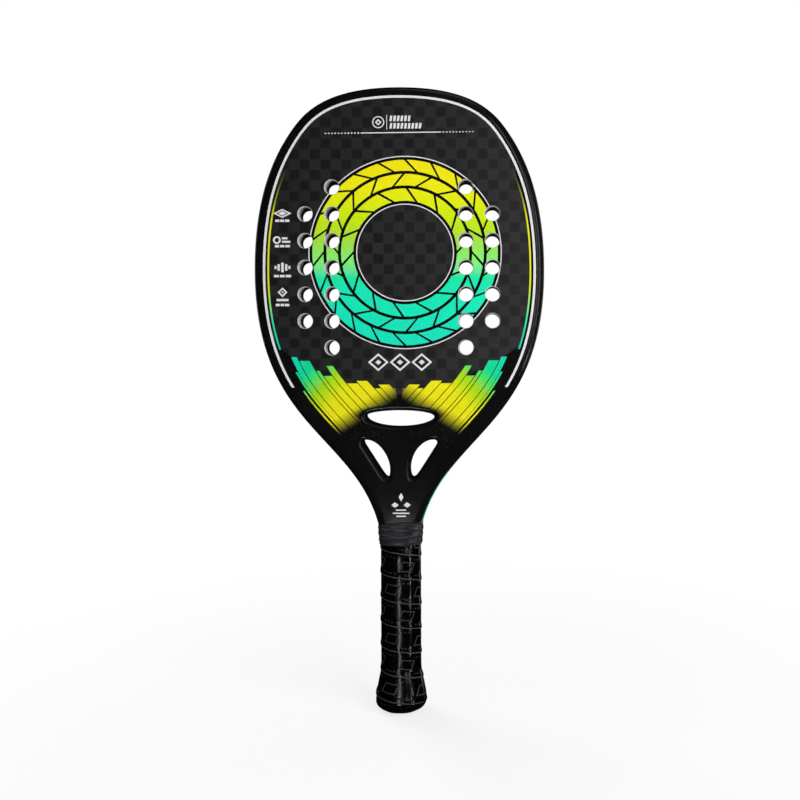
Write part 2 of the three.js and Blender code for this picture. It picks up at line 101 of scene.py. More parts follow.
# Grip, from the cap's flange to the neck: height, width, depth and bevel of its outside.
# A profile has rows of (share of the pitch above a turn's lower edge, how far it stands out).
grip_stations = [(8.3, 40.5, 36.2, 11.5), (13.0, 40.5, 36.2, 11.5), (28.0, 34.4, 30.1, 9.7)]
grip_stations += [(34.2, 32.2, 27.8, 9.0), (126.0, 32.2, 27.8, 9.0), (139.7, 32.2, 24.7, 7.5)]
grip_fairing = 2.5
grip_crown = 0.45
grip_pitch = 19.45
grip_seam_height = 123.3
grip_thickness = 1.3
grip_profile = [(0.0, 0.08), (0.006, 0.38), (0.02, 0.54), (0.06, 0.6), (0.12, 0.52), (0.18, 0.3)]
grip_profile += [(0.26, 0.08), (0.35, 0.0), (0.5, 0.03), (0.65, 0.05), (0.8, 0.03), (0.92, -0.02)]
grip_profile += [(0.975, -0.08), (0.998, -0.14)]
grip_lump = 0.09

# Finishing tape at the neck
tape_stations = [(134.2, 34.2, 29.8, 8.0), (140.0, 35.0, 28.4, 6.2), (146.0, 35.8, 25.8, 4.6)]
tape_stations += [(152.6, 35.4, 24.4, 3.6)]
tape_top_slope = 0.06
tape_fairing = 1.6
tape_crown = 0.35
tape_pitch = 5.2
tape_seam_height = 140.0
tape_thickness = 0.5
tape_profile = [(0.0, 0.0), (0.03, 0.2), (0.1, 0.3), (0.28, 0.28), (0.42, 0.12), (0.55, 0.02)]
tape_profile += [(0.7, 0.0), (0.85, 0.0), (0.985, -0.04)]
tape_wrinkle = 0.1

# How much further a turn has fallen at the rear than an even winding would
turn_skew = 0.12

# Butt cap: height, width, depth and bevel, outside from the flat up, then down into the socket
cap_stations = [(0.0, 20.8, 18.6, 5.9), (0.25, 22.6, 20.2, 6.4), (0.9, 27.2, 24.3, 7.7)]
cap_stations += [(1.6, 31.2, 27.9, 8.8), (2.6, 34.6, 30.9, 9.7), (4.0, 37.7, 33.6, 10.6)]
cap_stations += [(5.6, 39.7, 35.4, 11.2), (7.0, 40.6, 36.2, 11.4), (8.0, 40.7, 36.3, 11.5)]
cap_stations += [(8.15, 38.0, 33.6, 10.6), (8.4, 37.0, 32.6, 10.4), (13.0, 37.0, 32.6, 10.4)]
cap_stations += [(28.0, 31.0, 26.6, 8.6), (28.0, 29.5, 25.1, 8.2), (5.0, 29.4, 25.0, 8.2)]
cap_crown = 0.4

# Films of print: each starts a little inside the face, ends a little off it and keeps a margin from
# the lips of the openings
film_sink = 0.01
ground_lift = 0.04
ink_lift = 0.08
lip_margin = 0.3

# Ring of tiles round the middle of the face: a row is (inner and outer radius, tiles, lean in degrees)
ring_middle = (5.0, 367.0)
ring_rows = [(41.2, 51.0, 14, 11.0), (53.4, 62.6, 18, -9.0), (65.0, 73.8, 22, 8.0)]
ring_gap = 2.3
ring_ground = (38.9, 76.1)
ring_contours = [(38.1, 38.9), (76.1, 76.9)]
ring_sides = 160

# White band and thin coloured line inside the rim, by their insets
band_insets = (7.4, 9.3)
band_shift = (0.4, -0.5)
band_foot = 260.4
line_insets = (11.05, 12.4)
line_span = (290.0, 434.0)
line_thinning_height = 385.0
line_shift = 0.35

# Bare weave: its insets below and beside the crown, the heights between which it goes over from one
# to the other, how far the lower part sits to the left, and its lower border
weave_insets = (10.9, 8.6)
weave_change = (425.0, 440.0)
weave_shift = 0.9
weave_border = [(0, 254), (20, 256), (38, 261), (54, 268), (70, 276), (84, 284), (96, 292)]
ground_foot = 214.0

# Stripes below the face: outer inset, inner inset and upper end
stripe_plan = [(13.3, 14.6, 257), (16.2, 17.9, 272), (18.2, 22.3, 284), (22.9, 30.3, 281)]
stripe_plan += [(30.9, 33.3, 273), (33.9, 39.3, 269), (39.9, 44.3, 277), (44.9, 51.3, 263)]
stripe_plan += [(51.9, 58.3, 265), (58.9, 62.3, 259), (62.9, 69.3, 262), (69.9, 76.3, 259)]
stripe_plan += [(76.9, 85.7, 262)]
stripe_foot = 205.0
stripe_foot_rise = 0.45
stripe_limit = [(-60, 190), (0.5, 190), (0.5, 246), (3.6, 262), (3.6, 300), (-60, 300)]

# Small white signs
emblem_middle = (-16.1, 470.7)
underline_height = 462.45
underline_slope = 0.0095
underline_dash_pitch = 2.6
slanted_bar = [(0.0, 0.0), (1.8, 0.0), (2.4, 4.4), (0.6, 4.4)]
slanted_bar_pitch = 2.9
chain_middle = (0.7, 279.8)
chain_pitch = 17.3
sign_across = -92.6
throat_sign_across = 1.2

# Colours by height
ring_colours = [(290, "#00dbbb"), (340, "#00e4b0"), (347, "#0ee29f"), (353, "#65e197"), (359, "#7dec70")]
ring_colours += [(366, "#89e464"), (378, "#a4da36"), (391, "#bfe106"), (404, "#d4e500"), (417, "#e7e502")]
ring_colours += [(440, "#ecdc00")]
line_colours = [(290, "#04c79b"), (301, "#05d3a8"), (313, "#30dc9a"), (325, "#7fe070"), (337, "#c2e020")]
line_colours += [(350, "#dcd81a"), (385, "#dcd81a"), (397, "#d0d000"), (409, "#8f931c"), (421, "#5c5f1c")]
line_colours += [(434, "#26261f")]
stripe_colours = [(283, "#f0e800"), (300, "#ebe800"), (310, "#c8df00"), (321, "#9ed70a"), (328, "#77d64d")]
stripe_colours += [(334, "#43dc5d"), (345, "#02cf8c"), (352, "#00cf98"), (375, "#05d0b0")]
white = (1.0, 1.0, 1.0, 1.0)

# Weave: size of a square, and where one begins
weave_pitch = 8.35
weave_corner = (-12.25, 382.9)

# Lacquered accent on the rim's right side: heights between which it fades out and turns lighter,
# and depths between which it ends
accent_fade = (184.0, 202.0)
accent_lightening = (150.0, 200.0)
accent_border = (7.5, 8.5)

# Dark oval round the window in the stripes: height of its middle, half width and half height
halo_height = 236.5
halo_across = 32.5
halo_up = 9.5

# Pattern pressed into the grip: its length along a turn, its middle up the turn, where its lozenge
# lies along it, and the pitch of the dashes
pattern_length = 27.0
pattern_middle = 10.0
lozenge_along = 10.0
grip_dash_pitch = 3.4

# Floor, surround and lamps, in metres. A lamp has an azimuth, elevation, distance, width, height and
# strength. A card has an azimuth, distance, lowest and highest place, width and strength.
floor_reach = 60.0
drum_radius = 4.0
drum_height = 8.0
ambient = 0.3
fill_lamps = [("right_key", 44.0, 20.0, 1.5, 1.0, 1.2, 5.7)]
fill_lamps += [("rear_key", 224.0, 20.0, 1.5, 1.0, 1.2, 5.7)]
gloss_lamps = [("right_box", 22.0, 17.0, 1.6, 0.17, 1.1, 2.8)]
gloss_lamps += [("edge_strip", 50.0, 8.0, 1.6, 0.08, 0.8, 7.0)]
gloss_lamps += [("right_glow", 42.0, 15.0, 1.6, 0.8, 0.95, 0.26)]
gloss_lamps += [("right_side_box", 125.0, 5.0, 1.8, 0.4, 1.4, 1.6)]
gloss_lamps += [("top_box", 30.0, 72.0, 1.9, 0.9, 0.9, 0.4)]
gloss_lamps += [("left_side_box", -118.0, 12.0, 1.8, 0.4, 1.2, 1.4)]
gloss_lamps += [("rear_box", 205.0, 14.0, 1.8, 0.3, 1.2, 2.0)]
cards = [("grip_card", -4.9, 0.314, -0.115, 0.092, 0.008, 14.0)]
cards += [("tape_card", 60.0, 1.6, -0.26, -0.06, 0.05, 30.0)]

# Camera
camera_place = (0.0647, -0.699, 0.2877)
camera_lens = 38.925
camera_shift = (-0.1006, -0.06)
camera_roll = 0.003


def make_camera():
    data = bpy.data.cameras.new("camera")
    data.lens = camera_lens
    data.sensor_width = 36.0
    data.shift_x, data.shift_y = camera_shift
    camera = bpy.data.objects.new("camera", data)
    camera.location = camera_place
    camera.rotation_euler = (math.pi / 2, camera_roll, 0.0)
    bpy.context.collection.objects.link(camera)
    bpy.context.scene.camera = camera


# Outlines in the plane of the face

def cubic(points, steps):
    """Places and unit directions along a cubic curve with four control points."""
    share = np.linspace(0.0, 1.0, steps + 1)[:, None]
    rest = 1.0 - share
    a, b, c, d = (np.array(point, float) for point in points)
    place = rest**3 * a + 3 * rest**2 * share * b + 3 * rest * share**2 * c + share**3 * d
    way = rest**2 * (b - a) + 2 * rest * share * (c - b) + share**2 * (d - c)
    return place, way / np.linalg.norm(way, axis=1)[:, None]


def quadratic(points, steps):
    """Places along a curve with three control points."""
    share = np.linspace(0.0, 1.0, steps + 1)[:, None]
    rest = 1.0 - share
    a, b, c = (np.array(point, float) for point in points)
    return rest**2 * a + 2 * rest * share * b + share**2 * c


def make_side():
    """Places and directions down the right-hand side of the racket, from the crown to the neck."""
    half = head_width / 2
    neck = neck_width / 2
    crown = [(x * half, widest_height + z * (racket_length - widest_height)) for x, z in crown_shares]
    throat = [(neck + x * (half - neck), neck_height + z * (widest_height - neck_height))
              for x, z in throat_shares]
    pieces = [cubic(crown[:4], 24), cubic(crown[3:], 24), cubic(throat, 64)]
    return [np.vstack([pieces[0][k], pieces[1][k][1:], pieces[2][k][1:]]) for k in (0, 1)]


side_places, side_ways = make_side()


def side_line(inset):
    """The right-hand side moved in by inset."""
    line = side_places + inset * np.column_stack((side_ways[:, 1], -side_ways[:, 0]))
    line[0, 0] = 0.0
    return line


def across_at(line, height):
    """How far out a line down the right-hand side lies at a height."""
    return np.interp(height, line[::-1, 1], line[::-1, 0])


def mirrored(line):
    return np.asarray(line) * (-1, 1)


def both_sides(right):
    """A closed outline from its right-hand half, which starts in the middle above."""
    left = mirrored(right)[::-1]
    return np.vstack([right, left[np.abs(left[:, 0]) > 1e-6]])


def side_span(inset, low, high):
    """The part of the moved right-hand side between two heights, from above down."""
    line = side_line(inset)
    inner = line[(line[:, 1] < high) & (line[:, 1] > low)]
    ends = [(across_at(line, height), height) for height in (high, low)]
    return np.vstack([ends[0], inner, ends[1]])


def rim_outline(inset):
    """The whole outline moved in by inset, closed by a straight foot at the neck."""
    side = side_line(inset)
    return both_sides(np.vstack([side, (side[-1, 0], shell_foot)]))


def head_outline(inset, lowest, radius, steps=28):
    """The inside of the head: the rim moved in by inset, closed below by an arc."""
    side = side_line(inset)
    centre = lowest + radius
    reach = np.hypot(side[:, 0], side[:, 1] - centre)
    first = int(np.argmax(reach > radius))
    share = (radius - reach[first - 1]) / (reach[first] - reach[first - 1])
    corner = side[first - 1] + share * (side[first] - side[first - 1])
    turn = math.atan2(corner[0], centre - corner[1])
    turns = turn * (1 - np.arange(steps + 1) / steps)
    arc = np.column_stack((radius * np.sin(turns), centre - radius * np.cos(turns)))
    return both_sides(np.vstack([side[:first], arc]))


def skin_outline(inset):
    lowest = bridge_top_height - skin_lap - (skin_inset - inset)
    return head_outline(inset, lowest, bridge_top_radius + skin_lap)


def circle(middle, radius, sides=64):
    """A circle, or with few sides a polygon that stands on a corner."""
    turns = 2 * math.pi * np.arange(sides) / sides
    return radius * np.column_stack((np.cos(turns), np.sin(turns))) + middle


def circles(middle, radii, sides):
    return [circle(middle, radius, sides) for radius in radii]


def holes(radius):
    """Outlines of all the round holes through the face."""
    return [circle((side * steps * hole_pitch, hole_field_height + row * hole_pitch), radius)
            for steps, reach in hole_columns for side in (-1, 1) for row in range(-reach, reach + 1)]


def window_outline():
    """An ellipse that is flatter above its widest place than below it."""
    turns = 2 * math.pi * np.arange(96) / 96
    rise = np.sin(turns) * window_rise
    rise *= np.where(rise > 0, window_top_share, 1 - window_top_share)
    widest = window_top - window_rise * window_top_share
    return np.column_stack((window_width / 2 * np.cos(turns), widest + rise))


def slot_outline(side):
    """A slot between the strut and the frame: one straight wall, one curved, and narrow ends."""
    inner_side = side_line(tube_width)

    def place(share):
        height = slot_foot + share[1] * slot_rise
        room = across_at(inner_side, height) - strut_half
        return (side * (strut_half + share[0] * room), height)

    wall, top, curve = ([place(share) for share in shares]
                        for shares in (slot_wall_shares, slot_top_shares, slot_curve_shares))
    straight = np.linspace(wall[0], wall[1], 9)[:-1]
    tip = quadratic([wall[1], *top], 10)[:-1]
    inside_curve = cubic([top[1], *curve], 24)[0][:-1]
    foot_tip = quadratic([curve[2], place(slot_foot_share), wall[0]], 10)[:-1]
    return rounded(np.vstack([straight, tip, inside_curve, foot_tip]))


def rounded(outline, rounds=2):
    """A closed outline whose corners are eased by averaging each point with its neighbours."""
    for _ in range(rounds):
        outline = (np.roll(outline, 1, axis=0) + 2 * outline + np.roll(outline, -1, axis=0)) / 4
    return outline


def grown(outline, by):
    """A closed outline moved outwards."""
    following = np.roll(outline, -1, axis=0)
    ahead = following - np.roll(outline, 1, axis=0)
    outward = np.column_stack((ahead[:, 1], -ahead[:, 0]))
    outward /= np.linalg.norm(outward, axis=1)[:, None]
    area = np.sum(outline[:, 0] * following[:, 1] - following[:, 0] * outline[:, 1])
    return outline + (by if area > 0 else -by) * outward


def throat_openings():
    return [window_outline(), slot_outline(-1), slot_outline(1)]


def openings(by):
    return [grown(outline, by) for outline in throat_openings()]


# Regions and bodies

def inside(points, outlines):
    """Which points lie inside an odd number of the outlines."""
    odd = np.zeros(len(points), bool)
    for a in outlines:
        b = np.roll(a, -1, axis=0)
        low, high = a.min(axis=0), a.max(axis=0)
        near = np.all((points >= low) & (points <= high), axis=1)
        p = points[near][:, None, :]
        crosses = (a[:, 1] > p[..., 1]) != (b[:, 1] > p[..., 1])
        rise = np.where(b[:, 1] == a[:, 1], 1.0, b[:, 1] - a[:, 1])
        edge = a[:, 0] + (p[..., 1] - a[:, 1]) * (b[:, 0] - a[:, 0]) / rise
        odd[near] ^= (np.sum(crosses & (p[..., 0] < edge), axis=1) % 2).astype(bool)
    return odd


def region(outlines, cutouts=()):
    """Points and triangles of what lies inside the outlines and outside the cutouts."""
    points = []
    edges = []
    for outline in [*outlines, *cutouts]:
        first = len(points)
        count = len(outline)
        points += [Vector((float(x), float(z))) for x, z in outline]
        edges += [(first + k, first + (k + 1) % count) for k in range(count)]
    corners, _, faces, *_ = delaunay_2d_cdt(points, edges, [], 0, 1e-5)
    flat = np.array([(corner.x, corner.y) for corner in corners])
    triangles = np.array(faces)
    middles = flat[triangles].mean(axis=1)
    kept = inside(middles, outlines)
    for cutout in cutouts:
        kept &= ~inside(middles, [cutout])
    used, triangles = np.unique(triangles[kept], return_inverse=True)
    return flat[used], triangles.reshape(-1, 3)


def rim_edges(triangles):
    """Directed edges that belong to one triangle only."""
    directed = {(face[k], face[(k + 1) % 3]) for face in triangles.tolist() for k in range(3)}
    return [edge for edge in directed if (edge[1], edge[0]) not in directed]


class Body:
    """Faces gathered for one piece, in millimetres, each with the number of its finish."""

    def __init__(self):
        self.points = []
        self.faces = []
        self.inks = []

    def add(self, points, faces, ink=0):
        first = len(self.points)
        self.points += [tuple(map(float, point)) for point in points]
        self.faces += [[first + int(corner) for corner in face] for face in faces]
        self.inks += [ink] * len(faces)

    def flat(self, outlines, depth, cutouts=()):
        """A flat region at a depth towards the front."""
        points, triangles = region(outlines, cutouts)
        self.add([(x, -depth, z) for x, z in points], triangles)

    def slab(self, outlines, near, far, cutouts=(), ink=0):
        """A flat closed body between two depths."""
        points, triangles = region(outlines, cutouts)
        count = len(points)
        layers = [(x, -depth, z) for depth in (far, near) for x, z in points]
        walls = [[b, a, a + count, b + count] for a, b in rim_edges(triangles)]
        self.add(layers, [*triangles, *(triangles[:, ::-1] + count), *walls], ink)

    def film(self, outlines, lift, cutouts=(), ink=0):
        """A thin layer of print on the front face."""
        self.slab(outlines, face_depth - film_sink, face_depth + lift, cutouts, ink)

    def loft(self, rings, inks=None, capped=False):
        """Walls through rings with the same number of points, with an ink for each row of walls."""
        count = len(rings[0])
        first = len(self.points)
        self.add([point for ring in rings for point in ring], [])
        for row in range(len(rings) - 1):
            low = first + row * count
            for k in range(count):
                n = (k + 1) % count
                self.faces.append([low + k, low + n, low + count + n, low + count + k])
                self.inks.append(inks[row] if inks else 0)
        if capped:
            ends = [list(range(start, start + count)) for start in (first, len(self.points) - count)]
            self.faces += [ends[0][::-1], ends[1]]
            self.inks += [0, 0]

    def band(self, outlines, depths, inks=None):
        """Walls through closed outlines, each at its own depth towards the front."""
        self.loft([[(x, -depth, z) for x, z in outline] for outline, depth in zip(outlines, depths)], inks)

    def piece(self, name, finishes, sharp=35.0):
        """The finished object, its points welded and its faces turned outwards."""
        made = bmesh.new()
        corners = [made.verts.new(Vector(point) * METRE) for point in self.points]
        for face, ink in zip(self.faces, self.inks):
            if len(set(face)) > 2:
                made.faces.new([corners[k] for k in face]).material_index = ink
        return finish_mesh(made, name, finishes, sharp)


def finish_mesh(made, name, finishes, sharp, weld=1.5e-6):
    bmesh.ops.remove_doubles(made, verts=made.verts, dist=weld)
    bmesh.ops.dissolve_degenerate(made, dist=weld / 2, edges=made.edges)
    bmesh.ops.recalc_face_normals(made, faces=made.faces)
    for face in made.faces:
        face.smooth = True
    mesh = bpy.data.meshes.new(name)
    made.to_mesh(mesh)
    made.free()
    mesh.set_sharp_from_angle(angle=math.radians(sharp))
    return linked(name, mesh, finishes)


def linked(name, mesh, finishes):
    """A new object in the scene, with its finishes."""
    for finish in finishes:
        mesh.materials.append(finish)
    piece = bpy.data.objects.new(name, mesh)
    bpy.context.collection.objects.link(piece)
    return piece


def place_piece(piece, slot, *nodes):
    """The piece rides on the racket and stands for the named solids. The slot is not used."""
    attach(piece, "root")
    if nodes:
        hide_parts(*nodes)
    return piece


# Shader sums and materials

class Value:
    """A socket that can be added, multiplied and so on: each operator adds its Math node."""

    def __init__(self, nodes, socket):
        self.nodes = nodes
        self.socket = socket

    def math(self, operation, *others, clamp=False):
        settings = {"operation": operation, "use_clamp": clamp}
        return self.nodes.value("ShaderNodeMath", settings, dict(enumerate((self, *others))))

    def __add__(self, other):
        return self.math("ADD", other)

    __radd__ = __add__

    def __sub__(self, other):
        return self.math("SUBTRACT", other)

    def __rsub__(self, other):
        return self.nodes.value("ShaderNodeMath", {"operation": "SUBTRACT"}, {0: other, 1: self})

    def __mul__(self, other):
        return self.math("MULTIPLY", other)

    __rmul__ = __mul__

    def __truediv__(self, other):
        return self.math("DIVIDE", other)

    def __mod__(self, other):
        return self.math("FLOORED_MODULO", other)

    def __abs__(self):
        return self.math("ABSOLUTE")

    def most(self, other):
        return self.math("MAXIMUM", other)

    def clamped(self):
        return self.math("ADD", 0.0, clamp=True)

    def smooth(self, low, high):
        """0 below low and 1 above high, with an eased climb between them."""
        inputs = {"Value": self, "From Min": low, "From Max": high}
        return self.nodes.value("ShaderNodeMapRange", {"interpolation_type": "SMOOTHSTEP"}, inputs)


class Nodes:
    """A node tree whose nodes are added one at a time."""

    def __init__(self, tree):
        self.tree = tree

    def node(self, kind, settings=None, inputs=None):
        """A node of a kind, its settings given first and then the values or links of its sockets."""
        node = self.tree.nodes.new(kind)
        for key, setting in (settings or {}).items():
            if key == "stops":
                self.set_stops(node.color_ramp, setting)
            else:
                setattr(node, key, setting)
        for key, given in (inputs or {}).items():
            self.feed(node.inputs[key], given)
        return node

    def value(self, kind, settings=None, inputs=None, output=0):
        """One output of a new node."""
        return Value(self, self.node(kind, settings, inputs).outputs[output])

    def set_stops(self, ramp, stops):
        while len(ramp.elements) < len(stops):
            ramp.elements.new(0.5)
        for element, (share, shade) in zip(ramp.elements, stops):
            element.position = share
            element.color = shade

    def feed(self, socket, given):
        """Links a value or socket, or sets a number or colour."""
        if isinstance(given, Value):
            given = given.socket
        if isinstance(given, bpy.types.NodeSocket):
            self.tree.links.new(given, socket)
        else:
            socket.default_value = colour(given) if isinstance(given, str) else given

    def found(self, kind):
        return next(node for node in self.tree.nodes if node.type == kind)

    def seen(self):
        """1 for rays from the camera, also by way of a mirror or through glass, and 0 for others."""
        path = self.node("ShaderNodeLightPath")
        camera, glossy, through = (Value(self, path.outputs["Is " + kind + " Ray"])
                                   for kind in ("Camera", "Glossy", "Transmission"))
        return camera.most(glossy).most(through)


class Finish(Nodes):
    """One procedural material."""

    def __init__(self, name):
        self.material = bpy.data.materials.new(name)
        self.material.use_nodes = True
        super().__init__(self.material.node_tree)
        self.shader = self.found("BSDF_PRINCIPLED")
        self.place = self.value("ShaderNodeTexCoord", output="Object")

    def split(self, vector):
        """The three parts of a vector."""
        return [Value(self, part) for part in self.node("ShaderNodeSeparateXYZ", None, {0: vector}).outputs]

    def scaled(self, scale):
        """The place times a scale, which is one number or one for each direction."""
        scale = scale if isinstance(scale, tuple) else (scale,) * 3
        return self.value("ShaderNodeVectorMath", {"operation": "MULTIPLY"}, {0: self.place, 1: scale})

    def parts(self):
        """Across, back and height of the place, in millimetres."""
        return self.split(self.scaled(1 / METRE))

    def noise(self, scale, detail=2.0, roughness=0.5):
        """Soft noise from 0 to 1. The scale is in cells a metre."""
        inputs = {"Vector": self.scaled(scale), "Scale": 1.0, "Detail": detail, "Roughness": roughness}
        return self.value("ShaderNodeTexNoise", None, inputs)

    def cells(self, scale):
        """Distance from the middle of the nearest of many small cells."""
        return self.value("ShaderNodeTexVoronoi", None, {"Vector": self.place, "Scale": scale})

    def mix(self, factor, first, second):
        """From the first colour to the second as factor goes from 0 to 1."""
        settings = {"data_type": "RGBA", "blend_type": "MIX"}
        return self.value("ShaderNodeMix", settings, {0: factor, 6: first, 7: second}, 2)

    def graded(self, height, colours):
        """The colour at a height, from a list of heights and colours."""
        low, high = colours[0][0], colours[-1][0]
        stops = [((at - low) / (high - low), colour(code)) for at, code in colours]
        return self.value("ShaderNodeValToRGB", {"stops": stops}, {0: (height - low) / (high - low)})

    def bump(self, height, distance, strength=1.0, under=None):
        """A normal from a height that goes from 0 to 1, over a distance in metres."""
        inputs = {"Height": height, "Distance": distance, "Strength": strength}
        if under is not None:
            inputs["Normal"] = under
        return self.value("ShaderNodeBump", None, inputs)

    def glow(self, strength):
        """An even white light."""
        return self.value("ShaderNodeEmission", None, {0: white, 1: strength})

    def show(self, shader):
        """Makes this shader the one that the material shows."""
        self.feed(self.found("OUTPUT_MATERIAL").inputs[0], shader)

    def done(self, tint, gloss, normal=None, **others):
        """The finished material. Other sockets go by their names, with underscores for the spaces."""
        inputs = {"Base Color": tint, "Roughness": gloss}
        if normal is not None:
            inputs["Normal"] = normal
        for key, given in others.items():
            inputs[key.replace("_", " ").title().replace("Ior", "IOR")] = given
        for key, given in inputs.items():
            self.feed(self.shader.inputs[key], given)
        return self.material


def colour(code):
    """Linear colour of a six-figure code."""
    parts = [int(code[k:k + 2], 16) / 255 for k in (1, 3, 5)]
    linear = [part / 12.92 if part <= 0.04045 else ((part + 0.055) / 1.055) ** 2.4 for part in parts]
    return (*linear, 1.0)


def black_coat(paint):
    """Clouded black, with the noise of its clouds and of its orange peel."""
    cloud = paint.noise(18.0, 3.0)
    return paint.mix(cloud.smooth(0.35, 0.75), "#0c0c0d", "#101011"), cloud, paint.noise(420.0)


def black_paint():
    """Satin black paint with a faint orange-peel surface."""
    paint = Finish("black_paint")
    black, cloud, peel = black_coat(paint)
    speck = paint.noise(2600.0, 1.0)
    gloss = 0.14 + 0.05 * cloud + 0.03 * speck
    return paint.done(black, gloss, paint.bump(peel * 0.7 + speck * 0.3, 0.00006, 0.08))


def side_paint():
    """The rim's side: black, with a lacquered accent on the right, from the neck up."""
    paint = Finish("side_paint")
    across, back, height = paint.parts()
    black, cloud, peel = black_coat(paint)
    accent = (1 - height.smooth(*accent_fade)) * (1 - abs(back).smooth(*accent_border))
    accent = accent * across.smooth(0.0, 5.0)
    lacquer = paint.mix(height.smooth(*accent_lightening), "#1fa584", "#2fd3aa")
    tint = paint.mix(accent, black, lacquer)
    return paint.done(tint, 0.22 + 0.06 * cloud, paint.bump(peel, 0.00006, 0.3))


def woven_laminate():
    """Chequered laminate under satin lacquer: squares whose fibres run up or across by turns, with a
    painted sheen that lightens the tone to the right and downwards.
    """
    weave = Finish("woven_laminate")
    across, _, height = weave.parts()
    column = (across - weave_corner[0]) / weave_pitch
    row = (height - weave_corner[1]) / weave_pitch
    column_start = column.math("FLOOR")
    row_start = row.math("FLOOR")
    turned = (column_start + row_start) % 2.0
    square = weave.value("ShaderNodeCombineXYZ", None, {0: column_start, 1: row_start, 2: 0.5})
    shade = weave.value("ShaderNodeTexWhiteNoise", {"noise_dimensions": "3D"}, {0: square})
    u = abs(column - column_start - 0.5)
    v = abs(row - row_start - 0.5)
    seam = u.most(v).smooth(0.4, 0.47)
    upright = weave.noise((5200.0, 5200.0, 260.0))
    level = weave.noise((260.0, 5200.0, 5200.0))
    fibre = upright * turned + level * (1 - turned)
    cloud = weave.noise(9.0)
    light = 0.62 * turned + 0.16 * shade + 0.3 * (fibre - 0.5) + 0.5 * (cloud - 0.5)
    # Painted sheen: the tone grows lighter to the right and downwards, as the lamps on the right would
    # light it
    light = light + 0.0021 * across - 0.0008 * (height - 360.0) + 0.4 * seam * (1 - turned)
    tint = weave.mix(light.clamped(), "#171719", "#2d2d2e")
    bow = u * u * turned + v * v * (1 - turned)
    relief = 0.75 - 1.2 * bow - 0.2 * seam + 0.25 * (fibre - 0.5)
    gloss = 0.4 - 0.06 * turned + 0.08 * (fibre - 0.5)
    return weave.done(tint, gloss, weave.bump(relief, 0.00005, 0.5))


def cut_foam(name="cut_foam", tone="#d6d6ce", with_painted_shade=True):
    """Soft foam with the fine open cells that a drill leaves. With painted shade, it darkens towards the
    rear.
    """
    foam = Finish(name)
    pores = foam.cells(1700.0).smooth(0.1, 0.55)
    cloud = foam.noise(140.0, 3.0)
    light = 0.55 * pores + 0.6 * (cloud - 0.3)
    tint = foam.mix(light.clamped(), "#aaaaa2", tone)
    if with_painted_shade:
        # Painted shade down the holes: the walls go dark towards the rear, and the walls that face the lamp
        # on the right stay light deeper
        across, back, _ = foam.parts()
        aside = (across + 3 * hole_pitch) % hole_pitch - hole_pitch / 2
        reach = 7.5 * (1 - aside.smooth(-5.4, 1.0))
        tint = foam.mix((back - reach).smooth(-11.0, -3.5), tint, "#101010")
    return foam.done(tint, 0.9 - 0.1 * pores, foam.bump(pores, 0.0002, 0.6))


def cut_edge():
    """The pale edge of resin and glass that the drill bares in the laminates."""
    edge = Finish("cut_edge")
    plies = edge.noise((300.0, 6000.0, 300.0))
    tint = edge.mix(0.6 * plies + 0.4 * edge.noise(200.0), "#a5a59f", "#d4d4ce")
    return edge.done(tint, 0.6 + 0.1 * plies, edge.bump(plies, 0.00005, 0.4))


def new_ink(name):
    """A printed ink, with the noise of its fine grain."""
    ink = Finish(name)
    return ink, ink.noise(900.0)


def dried(ink, grain, tint, gloss=0.24, relief=0.3):
    """The finished ink."""
    return ink.done(tint, gloss + 0.08 * grain, ink.bump(grain, 0.00004, relief))


def white_ink():
    ink, grain = new_ink("white_ink")
    return dried(ink, grain, ink.mix(grain.smooth(0.3, 0.75), "#d6d5d7", "#e1e0e2"), 0.3)


def ring_ink():
    """The ring's colour goes from teal below through green to yellow above."""
    ink, grain = new_ink("ring_ink")
    tint = ink.graded(ink.parts()[2], ring_colours)
    return dried(ink, grain, ink.mix(0.08 * grain.smooth(0.35, 0.8), tint, "#6f8f10"))


def line_ink():
    """The thin line beside the rim: it comes out of the dark above and ends teal below."""
    ink, grain = new_ink("line_ink")
    return dried(ink, grain, ink.graded(ink.parts()[2], line_colours))


def corner_ink():
    """The stripes below the face: teal beside the rim, then green and yellow, dark towards the throat."""
    ink, grain = new_ink("corner_ink")
    across, _, height = ink.parts()
    aside = abs(across)
    tint = ink.graded(height + aside, stripe_colours)
    up = (height - halo_height) / halo_up
    out = across / halo_across
    ring = (out * out + up * up).math("SQRT")
    halo = (1 - ring.smooth(0.95, 1.4)).most(0.14 - 0.14 * ring.smooth(1.2, 4.5))
    foot = 1 - (height - 231.0 + (aside - 30.0) * 0.636).smooth(1.0, 23.0)
    middle = (1 - aside.smooth(2.0, 14.0)) * (1 - height.smooth(246.0, 258.0))
    tint = ink.mix(halo.most(foot).most(middle), tint, "#0d0d0e")
    return dried(ink, grain, tint, 0.24, 0.1)


